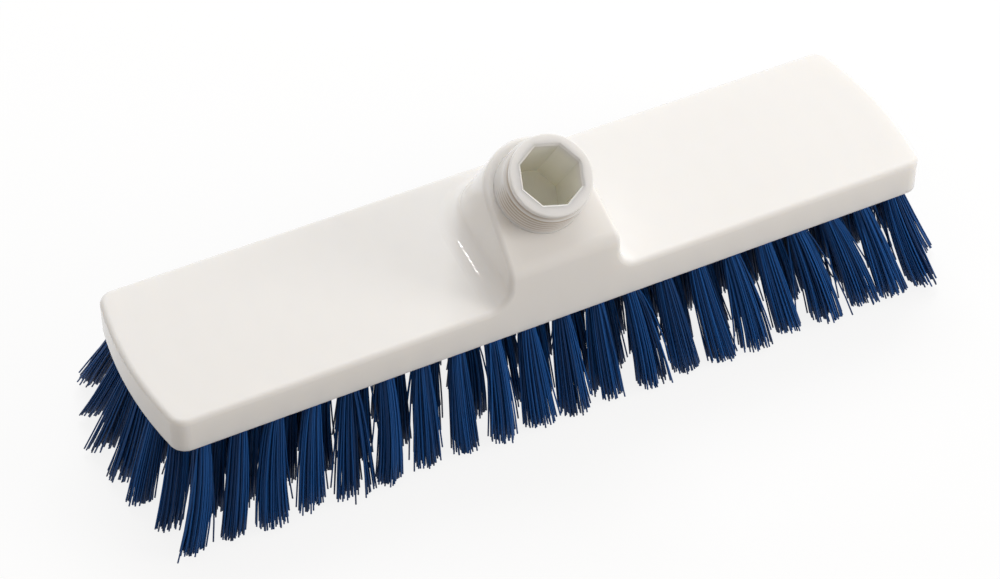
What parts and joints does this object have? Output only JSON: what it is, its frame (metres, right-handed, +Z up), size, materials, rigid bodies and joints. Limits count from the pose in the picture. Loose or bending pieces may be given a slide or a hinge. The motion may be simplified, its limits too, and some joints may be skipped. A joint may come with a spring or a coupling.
{
  "type": "scrub brush",
  "caption": "Deck scrub brush head: white moulded block with a slanted threaded handle socket on top, set underneath with fanned tufts of stiff blue bristle.",
  "frame": {"origin": "middle of the footprint, on the plane where the bristle tips are trimmed", "axes": "+X along the block, +Y from the front wall that the socket leans over towards the back wall, +Z up"},
  "size_m": [0.3264, 0.103, 0.1033],
  "materials": {
    "block_plastic": "glossy injection moulding, warm white",
    "bristle": "drawn polyester filament, dark blue",
    "anchor_wire": "flat drawn stainless wire"
  },
  "bodies": {
    "root": {"brush_block": "block_plastic", "tufts_row_1_left": "bristle", "tufts_row_1_middle": "bristle", "tufts_row_1_right": "bristle", "tufts_row_2_left": "bristle", "tufts_row_2_middle": "bristle", "tufts_row_2_right": "bristle", "tufts_row_3_left": "bristle", "tufts_row_3_middle": "bristle", "tufts_row_3_right": "bristle", "tufts_row_4_left": "bristle", "tufts_row_4_middle": "bristle", "tufts_row_4_right": "bristle", "tufts_row_5_left": "bristle", "tufts_row_5_middle": "bristle", "tufts_row_5_right": "bristle", "tufts_row_6_left": "bristle", "tufts_row_6_middle": "bristle", "tufts_row_6_right": "bristle", "tufts_row_7_left": "bristle", "tufts_row_7_middle": "bristle", "tufts_row_7_right": "bristle", "anchors_row_1_left": "anchor_wire", "anchors_row_1_middle": "anchor_wire", "anchors_row_1_right": "anchor_wire", "anchors_row_2_left": "anchor_wire", "anchors_row_2_middle": "anchor_wire", "anchors_row_2_right": "anchor_wire", "anchors_row_3_left": "anchor_wire", "anchors_row_3_middle": "anchor_wire", "anchors_row_3_right": "anchor_wire", "anchors_row_4_left": "anchor_wire", "anchors_row_4_middle": "anchor_wire", "anchors_row_4_right": "anchor_wire", "anchors_row_5_left": "anchor_wire", "anchors_row_5_middle": "anchor_wire", "anchors_row_5_right": "anchor_wire", "anchors_row_6_left": "anchor_wire", "anchors_row_6_middle": "anchor_wire", "anchors_row_6_right": "anchor_wire", "anchors_row_7_left": "anchor_wire", "anchors_row_7_middle": "anchor_wire", "anchors_row_7_right": "anchor_wire"}
  },
  "joints": []
}
